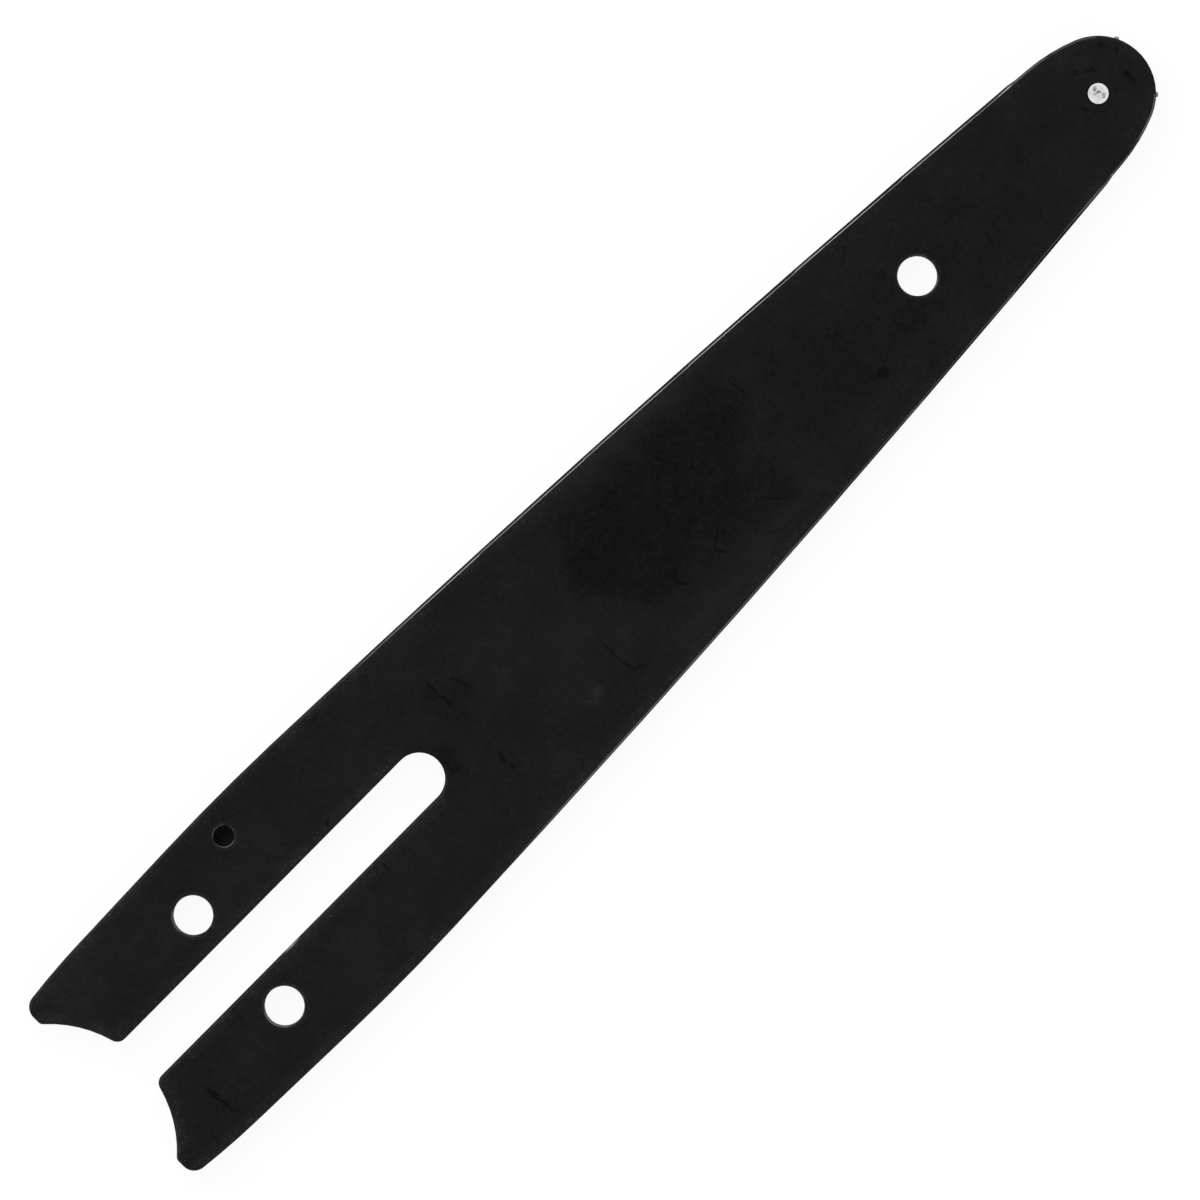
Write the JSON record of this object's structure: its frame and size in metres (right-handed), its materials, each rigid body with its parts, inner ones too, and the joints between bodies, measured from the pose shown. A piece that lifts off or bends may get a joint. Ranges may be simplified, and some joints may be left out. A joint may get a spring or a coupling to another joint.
{
  "type": "chainsaw guide bar",
  "caption": "Flat black forked guide bar for a small chain saw, with a grooved edge for the chain, a stud slot, adjuster holes and a sprocket nose.",
  "frame": {"origin": "middle of the bounding box, on the underside of the bar", "axes": "+X along the bar from its forked tail to its nose, +Y across it, +Z through its thickness towards the side plate that the picture shows"},
  "size_m": [0.1764, 0.0314, 0.0031],
  "materials": {
    "black_paint": "satin black paint on steel, worn bright along the rail edges",
    "core_steel": "plain oiled steel",
    "sprocket_steel": "bare hardened steel",
    "bush_steel": "ground steel",
    "rivet_steel": "steel ground flush, lightly stained"
  },
  "bodies": {
    "bar": {"near_plate": "black_paint", "far_plate": "black_paint", "core_plate": "core_steel", "sprocket_bush": "bush_steel", "nose_rivet": "rivet_steel"},
    "sprocket": {"nose_sprocket": "sprocket_steel"}
  },
  "joints": [
    {"name": "sprocket_spin", "type": "hinge", "parent": "bar", "child": "sprocket", "pos_m": [0.08123, 0, 0.00155], "axis": [0, 0, 1], "continuous": true}
  ]
}
